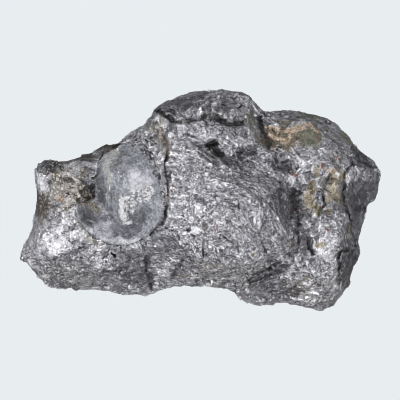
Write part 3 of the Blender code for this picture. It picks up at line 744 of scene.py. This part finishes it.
class Wire:
    # a node's output, with arithmetic that adds Math nodes
    def __init__(self, work, socket):
        self.work = work
        self.socket = socket

    def math(self, operation, *others):
        return self.work.add("Math", dict(enumerate((self, *others))), operation=operation)

    def __add__(self, other):
        return self.math("ADD", other)

    __radd__ = __add__

    def __mul__(self, other):
        return self.math("MULTIPLY", other)

    __rmul__ = __mul__

    def __sub__(self, other):
        return self.math("SUBTRACT", other)

    def __rsub__(self, other):
        return self.work.add("Math", {0: other, 1: self}, operation="SUBTRACT")

    def between(self, low, high):
        # 0 below low, 1 above high, smooth on the way
        inputs = {"Value": self, "From Min": low, "From Max": high}
        return self.work.add("MapRange", inputs, interpolation_type="SMOOTHSTEP")


class Finish:
    # the nodes of a material or of the world
    def __init__(self, owner):
        owner.use_nodes = True
        self.tree = owner.node_tree
        self.tree.nodes.clear()

    def add(self, kind, inputs=None, output=0, stops=(), **settings):
        node = self.tree.nodes.new("ShaderNode" + kind)
        for key, value in settings.items():
            setattr(node, key, value)
        if stops:
            self.setStops(node.color_ramp, stops)
        for key, value in (inputs or {}).items():
            if isinstance(value, Wire):
                self.tree.links.new(value.socket, node.inputs[key])
            else:
                node.inputs[key].default_value = value
        return Wire(self, node.outputs[output]) if len(node.outputs) else None

    def setStops(self, ramp, stops):
        while len(ramp.elements) > 1:
            ramp.elements.remove(ramp.elements[-1])
        for number, (position, shade) in enumerate(stops):
            stop = ramp.elements.new(position) if number else ramp.elements[0]
            stop.position, stop.color = position, shade

    def mask(self, name, output="Fac"):
        return self.add("Attribute", output=output, attribute_name=name)

    def vector(self, operation, *inputs, output="Vector"):
        return self.add("VectorMath", dict(enumerate(inputs)), output, operation=operation)

    def scaled(self, vector, factor):
        return self.add("VectorMath", {0: vector, "Scale": factor}, operation="SCALE")

    def places(self):
        # the piece's own coordinates, in millimetres
        return self.scaled(self.add("TexCoord", output="Object"), 1 / mm)

    def stretch(self, vector, sizes):
        return self.vector("MULTIPLY", vector, tuple(1 / size for size in sizes))

    def cloud(self, vector, size, detail, rough=0.55, twist=0.0, output=0):
        return self.add("TexNoise", {"Vector": vector, "Scale": 1 / size, "Detail": detail,
                                     "Roughness": rough, "Distortion": twist}, output)

    def warp(self, vector, size, amount):
        # shifts a vector by coloured noise, so that what is drawn on it has no straight edges
        shift = self.cloud(vector, size, 2, 0.5, output="Color")
        return self.vector("MULTIPLY_ADD", shift, (amount,) * 3, vector)

    def crests(self, vector, detail):
        # thin bright crests with broad hollows between them, from 0 to 1
        noise = self.cloud(vector, 1.0, detail)
        return 1 - ((noise - 0.5).math("ABSOLUTE") * 5).between(0.0, 1.0)

    def cells(self, vector, size, channel):
        # cells: the place of each one's middle, a lean of its own and one channel of its own colour
        own = self.add("TexVoronoi", {"Vector": vector, "Scale": 1 / size}, "Color")
        middle = Wire(self, own.socket.node.outputs["Position"])
        return middle, self.vector("SUBTRACT", own, (0.5,) * 3), self.add("SeparateColor", {0: own}, channel)

    def leaningCells(self, vector):
        # cells that each lean their own way, as a height, and a number for each cell
        middle, lean, number = self.cells(vector, 1, 2)
        off = self.vector("SUBTRACT", vector, middle)
        return self.vector("DOT_PRODUCT", off, lean, output="Value"), number

    def grains(self, places, size):
        # small grains, as a number for each one and as a turn of its own
        _, turn, number = self.cells(self.warp(places, 0.5, 0.4), size, 0)
        return number, turn

    def blend(self, share, first, second, kind="MIX"):
        return self.add("Mix", {0: share, 6: first, 7: second}, 2, data_type="RGBA", blend_type=kind)


def colour(red, green, blue):
    # from screen values, 0 to 255, to the linear ones that the nodes take
    def linear(value):
        value = value / 255
        return value / 12.92 if value <= 0.04045 else ((value + 0.055) / 1.055) ** 2.4
    return (linear(red), linear(green), linear(blue), 1)


# the ore's looks; colours are screen values
oreLooks = {
    "metallic": 0.6,
    "roughness": (0.46, 0.1),  # bare, and how much rougher stains are
    "ramp": ((0, (62, 62, 66)), (0.3, (102, 102, 107)), (0.55, (150, 150, 155)),
             (0.8, (192, 192, 197)), (1, (228, 228, 232))),
    "light": 0.53,  # where on that ramp the plain ore lies
    "film": ((0.9, 0.84, 0.76, 1), 0.35),  # what a faint brown film leaves of each colour, its share
    "filmPatches": (6.5, 4, 0.7),
    "pepper": ((206, 198, 186), 0.6),
    # dark colour painted into the cracks by their depth as painted shade, and its share
    "crack": ((46, 44, 43), 0.8),
    "bump": 0.1,  # millimetres
    "jumble": 0.24,  # how far single grains turn
    "grain": 0.42,
}
# noise: size in millimetres, detail, roughness, twist
oreClouds = {
    "broad": (5, 4, 0.6),
    "grit": (0.26, 3, 0.7),
    "blotch": (0.9, 4, 0.75, 0.3),
    "flecks": (0.3, 2, 0.6),
    "combing": (2.6, 2),
}
# sizes of the patterns along, across and up the foliation
oreSizes = {
    "waves": (3, 0.75, 1.4),
    "ripples": (1.3, 0.32, 0.7),
    "seams": (3, 0.55, 1),
    "scales": (2.6, 0.9, 1.2),
    "slivers": (0.8, 0.28, 0.4),
}
# how much each pattern lightens the ore; some of them are painted light and shade
oreShares = {
    "paintedShading": 1, "broad": 0.3, "grit": 1, "chip": 0.25, "waves": 0.28, "ripples": 0.5, "seams": 0.42,
    "scales": 0.15, "slivers": 0.3, "grain": 0.7, "hollow": 0.65,
}
# each stain's light and dark colour, and its share
stainColours = {
    "matrix": ((168, 163, 156), (112, 105, 97), 0.7),
    "earth": ((108, 96, 84), (46, 41, 37), 0.85),
    "crust": ((120, 108, 90), (74, 68, 58), 0.95),
    "ochre": ((164, 150, 118), (90, 80, 62), 0.76),
    "green": ((112, 114, 100), (84, 87, 78), 0.85),
    "brown": ((120, 110, 98), (62, 55, 49), 0.6),
    "tan": ((208, 188, 168), (146, 126, 108), 0.8),
    "rust": ((138, 62, 42), (72, 38, 28), 0.85),
    "quartzy": ((204, 204, 210), (140, 140, 146), 0.7),
    "oval": ((204, 204, 210), (176, 176, 183), 0.97),
    "white": ((238, 238, 242), (206, 206, 210), 0.9),
}


def stainOre(look, skin, light, grit, blotch, flecks):
    # returns the stained colour, and how metallic and how rough it is
    metal = oreLooks["metallic"]
    rough, rougher = oreLooks["roughness"]
    grains = (flecks * 0.75 + grit * 0.25).between(0.32, 0.68)
    # the ore's painted light and shade, laid over the stains
    reliefShading = (light * 1.1 + 0.45).between(0.2, 1.6) * 0.95 + 0.25  # the ore's own, which shades the stains
    frayed = (blotch - 0.5) * 1.6 + (flecks - 0.5) * 1.2
    for name, (pale, dark, share) in stainColours.items():
        mask = look.mask(name)
        cover = (mask + frayed * mask.between(0, 0.4)).between(0.35, 0.7) * share
        stain = look.blend(1, look.blend(grains, colour(*dark), colour(*pale)), reliefShading, "MULTIPLY")
        skin = look.blend(cover, skin, stain)
        metal = metal * (1 - cover)
        rough = rough + cover * rougher
    return skin, metal, rough


def oreFinish():
    material = bpy.data.materials.new("oreSkin")
    look = Finish(material)
    places = look.places()
    foliated, hollow, crack, paintedShading, chip, calm = (
        look.mask(name) for name in ("foliated", "hollow", "crack", "paintedShading", "chip", "calm"))
    broad, grit, blotch, flecks, combing = (look.cloud(places, *cloud) for cloud in oreClouds.values())

    flow = look.warp(look.mask("flow", "Vector"), 1.4, 1.8)
    shifted = look.vector("ADD", flow, (4.7, 9.1, 2.3))  # so that no two patterns line up
    offset = look.vector("ADD", flow, (7.3, 3.1, 5.7))
    waves = look.crests(look.stretch(shifted, oreSizes["waves"]), 3)
    ripples = look.crests(look.stretch(shifted, oreSizes["ripples"]), 2)
    seams = look.crests(look.stretch(offset, oreSizes["seams"]), 3)
    scales, scaleTone = look.leaningCells(look.stretch(flow, oreSizes["scales"]))
    slivers, sliverTone = look.leaningCells(look.stretch(flow, oreSizes["slivers"]))
    grainTone, grainTurn = look.grains(places, oreLooks["grain"])
    lively = 1 - calm * 0.55
    combed = (0.25 + foliated * 0.75) * lively * combing.between(0.25, 0.58)
    # shine also sets painted glints of the scales, slivers and grain in the colour
    shine = (0.25 + paintedShading * 0.7 + (broad - 0.5) * 0.4) * lively  # how strongly small facets catch the light

    # paintedShading and hollow are painted light and shade; the foliation's crests and seams and the scales,
    # slivers and grain are partly the ore's own streaks and grains and partly painted highlights and shade
    shades = {
        "paintedShading": paintedShading - 0.5,
        "broad": broad - 0.5,
        "grit": (grit - 0.5) * lively,
        "chip": chip - 0.5,
        "waves": (waves - 0.6) * combed,
        "ripples": (ripples - 0.6) * combed,
        "seams": (0.3 - seams) * combed,
        "scales": (scaleTone - 0.5) * shine,
        "slivers": (sliverTone - 0.5) * shine,
        "grain": (grainTone - 0.5) * shine,
        "hollow": 0.5 - hollow,
    }
    light = sum((shades[name] * share for name, share in oreShares.items()), oreLooks["light"])
    stops = ((position, colour(*shade)) for position, shade in oreLooks["ramp"])
    skin = look.add("ValToRGB", {"Fac": light}, stops=stops)
    film, share = oreLooks["film"]
    filmed = look.cloud(places, *oreLooks["filmPatches"]).between(0.5, 0.75) * share
    skin = look.blend(filmed, skin, film, "MULTIPLY")
    skin, metal, rough = stainOre(look, skin, light, grit, blotch, flecks)
    pepper, share = oreLooks["pepper"]
    peppered = look.mask("speckle") * grainTone.between(0.82, 0.86) * share
    skin = look.blend(peppered, skin, colour(*pepper))
    # painted shade in the cracks, deeper is darker
    dark, share = oreLooks["crack"]
    skin = look.blend(crack.between(0.3, 0.9) * share, skin, colour(*dark))

    height = (scales * 0.3 * foliated + slivers * 0.2 + grit * 0.2
              + (waves * 0.5 + ripples * 0.35 - seams * 0.6) * combed)
    bump = look.add("Bump", {"Height": height, "Strength": 1, "Distance": oreLooks["bump"] * mm})
    lean = ((scaleTone - 0.5) * 0.2 + (sliverTone - 0.5) * 0.3) * combed * shine
    leaning = look.scaled(look.mask("crossWay", "Vector"), lean)
    jumbled = look.scaled(grainTurn, shine * oreLooks["jumble"])
    facing = look.vector("NORMALIZE", look.vector("ADD", look.vector("ADD", bump, leaning), jumbled))
    surface = look.add("BsdfPrincipled", {
        "Base Color": skin, "Metallic": metal, "Roughness": rough, "Normal": facing})
    look.add("OutputMaterial", {"Surface": surface})
    return material


quartzLooks = {
    "glass": (186, 192, 206),
    "roughness": (0.5, 0.55),  # glass, body
    "bending": 1.54,  # index of refraction
    "bump": 0.35,  # millimetres
    "grain": 0.5,
    "body": 0.72,  # share of the clouded body over clear glass
    "metallic": 0.7,
    # dark and light colour of the clouded body, of its shade and of the ore that skins it
    "tint": ((88, 90, 97), (160, 162, 170)),
    "shade": ((60, 60, 63), (112, 112, 117)),
    "skin": ((78, 78, 82), (196, 196, 202)),
}
# noise: size in millimetres, detail, roughness, twist
quartzClouds = {
    "cloud": (2.6, 5, 0.6, 0.3),
    "mottle": (1.1, 4, 0.7),
    "fine": (0.45, 3, 0.65),
    "grit": (0.24, 2, 0.7),
}
# layers from the lowest: dark and light colour, how ragged the edge is, where it starts and is full,
# and the layer's share
quartzLayers = {
    "pale": ((146, 148, 142), (188, 189, 182), 0.7, 0.1, 1, 0.6),
    "milkAndHighlight": ((170, 170, 176), (206, 206, 211), 0.35, 0.1, 1.1, 0.7),
    "lip": ((204, 204, 209), (204, 204, 209), 1.1, 0.3, 1, 1),
    "broken": ((118, 118, 123), (210, 210, 213), 0.9, 0.3, 0.7, 0.8),
    "flake": ((166, 166, 168), (222, 222, 223), 0.8, 0.4, 0.6, 0.9),
    "stars": ((226, 226, 230), (226, 226, 230), 0.9, 0.5, 0.8, 0.8),
    "earth": ((50, 46, 42), (126, 118, 106), 1.4, 0.4, 0.6, 0.85),
}


def tintQuartz(look, marks, cloud, mottle, fine, grit, grainTone):
    # returns the colour of the clouded body, and how far ore skins it
    def between(name, noise):
        dark, light = quartzLooks[name]
        return look.blend(noise, colour(*dark), colour(*light))

    # painted highlights on crests and painted shade in hollows
    formShading = ((0.5 - marks["dellShading"]) + (0.5 - marks["hollow"]) * 0.5).math("MINIMUM", 0.04)
    veil = (cloud * 0.55 + mottle * 0.45 + (fine - 0.5) + (grit - 0.5) * 1.2
            + (grainTone - 0.5) * 0.25 + formShading).between(0.25, 0.75)
    tint = look.blend(marks["shade"] * 0.85, between("tint", veil), between("shade", veil))
    patterns = {
        "broken": (grainTone * 0.6 + fine * 0.4).between(0.25, 0.7),
        "flake": (fine * 0.6 + mottle * 0.4).between(0.35, 0.65),
        "earth": fine.between(0.35, 0.65),
    }
    for name, (dark, light, ragged, start, full, share) in quartzLayers.items():
        edge = fine if name in ("flake", "stars") else mottle
        cover = (marks[name] + (edge - 0.5) * ragged).between(start, full) * share
        if name == "lip":
            cover = cover * (0.25 + veil * 0.5)
        layer = look.blend(patterns.get(name, veil), colour(*dark), colour(*light))
        tint = look.blend(cover, tint, layer)
    metal = marks["metal"]
    skinned = (metal + (mottle - 0.5) * 1.4 * metal.between(0, 0.4)).between(0.35, 0.6)
    return look.blend(skinned, tint, between("skin", grainTone.between(0.3, 0.9))), skinned


def quartzFinish():
    material = bpy.data.materials.new("quartzGlass")
    look = Finish(material)
    places = look.places()
    marks = {name: look.mask(name) for name in (*hollowShading, *quartzMarks)}
    cloud, mottle, fine, grit = (look.cloud(places, *cloud) for cloud in quartzClouds.values())
    grainTone, grainTurn = look.grains(places, quartzLooks["grain"])
    tint, skinned = tintQuartz(look, marks, cloud, mottle, fine, grit, grainTone)

    height = fine * 0.5 + cloud * 0.4 + grit * 0.35 - marks["hollow"] * 0.3
    bump = look.add("Bump", {"Height": height, "Strength": 0.9, "Distance": quartzLooks["bump"] * mm})
    unrest = 0.2 + marks["metal"] * 0.5 + marks["broken"] * 0.6
    facing = look.vector("NORMALIZE", look.vector("ADD", bump, look.scaled(grainTurn, unrest)))
    glassRough, bodyRough = quartzLooks["roughness"]
    glass = look.add("BsdfPrincipled", {
        "Base Color": colour(*quartzLooks["glass"]), "Roughness": glassRough, "IOR": quartzLooks["bending"],
        "Transmission Weight": 1, "Normal": facing})
    body = look.add("BsdfPrincipled", {
        "Base Color": tint, "Roughness": bodyRough, "IOR": quartzLooks["bending"],
        "Metallic": skinned * quartzLooks["metallic"], "Normal": facing})
    share = (quartzLooks["body"] + (cloud - 0.5) * 0.6 + marks["milkAndHighlight"] * 0.2 + marks["lip"] * 0.4
             + marks["flake"] + marks["broken"] * 0.4 + marks["stars"] + marks["pale"] * 0.3
             + marks["earth"] + skinned)
    both = look.add("MixShader", {0: share.between(0, 1), 1: glass, 2: body})
    look.add("OutputMaterial", {"Surface": both})
    return material


def wear(piece, material):
    piece.data.materials.clear()
    piece.data.materials.append(material)


wear(oreLump, oreFinish())
wear(quartzLens, quartzFinish())
for piece, node, slot in ((oreLump, "skutterudite_ore", "ore"), (quartzLens, "quartz_lens", "quartz")):
    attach(piece, "root")
    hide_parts(node)
print("finishes done")


studio = {
    "floorSize": 3,  # metres
    "floorColour": (232, 237, 240),
    "brightest": (-0.28, -0.04, 0.95),  # towards the brightest part of the sky
    "sky": ((0, 0.2), (0.5, 0.42), (1, 1)),  # from below, by the horizon, to the brightest part
    "key": (-0.45, 0.1, 0.8, 0.4, 5),  # x, y, z, width in metres, watts
    "fill": (0.5, -0.3, 0.8, 0.5, 3),
    "aim": 0.02,  # height that the lights look at, in metres
    "cameraHeight": 1.2,  # metres
    "cameraOffset": (-0.12, 0.15),  # millimetres
    "frameWidth": 100,  # millimetres across the picture at the lump's widest contour
    "contourHeight": 12,
    "clipping": (0.01, 10),  # metres
}


def makeFloor():
    bpy.ops.mesh.primitive_plane_add(size=studio["floorSize"], location=(0, 0, 0))
    floor = bpy.context.object
    floor.name = "floor"
    material = bpy.data.materials.new("paleFloor")
    look = Finish(material)
    glow = look.add("Emission", {"Color": colour(*studio["floorColour"])})
    look.add("OutputMaterial", {"Surface": glow})
    wear(floor, material)
    for kind in ("diffuse", "glossy", "transmission"):
        setattr(floor, "visible_" + kind, False)


def makeLight(name):
    x, y, z, width, watts = studio[name]
    bpy.ops.object.light_add(type="AREA", location=(x, y, z))
    light = bpy.context.object
    light.name = name
    light.data.shape = "DISK"
    light.data.size = width
    light.data.energy = watts
    light.rotation_mode = "QUATERNION"
    light.rotation_quaternion = Vector((x, y, z - studio["aim"])).to_track_quat("Z", "Y")


def makeWorld():
    world = bpy.data.worlds.new("studioDome")
    bpy.context.scene.world = world
    look = Finish(world)
    away = look.add("TexCoord", output="Generated")
    brightest = tuple(Vector(studio["brightest"]).normalized())
    height = look.vector("DOT_PRODUCT", away, brightest, output="Value")
    height = look.add("MapRange", {"Value": height, "From Min": -1})
    stops = ((position, (value, value, value, 1)) for position, value in studio["sky"])
    sky = look.add("ValToRGB", {"Fac": height}, stops=stops)
    look.add("OutputWorld", {"Surface": look.add("Background", {"Color": sky})})


def makeCamera():
    height = studio["cameraHeight"]
    x, y = studio["cameraOffset"]
    bpy.ops.object.camera_add(location=(x * mm, y * mm, height), rotation=(0, 0, 0))
    camera = bpy.context.object
    distance = height - studio["contourHeight"] * mm
    camera.data.lens = camera.data.sensor_width * distance / (studio["frameWidth"] * mm)
    camera.data.clip_start, camera.data.clip_end = studio["clipping"]
    bpy.context.scene.camera = camera


makeFloor()
makeWorld()
makeLight("key")
makeLight("fill")
makeCamera()
bpy.context.scene.view_settings.view_transform = "Standard"
bpy.context.scene.cycles.filter_width = 1  # pixels, for a crisp picture
print("studio ready")
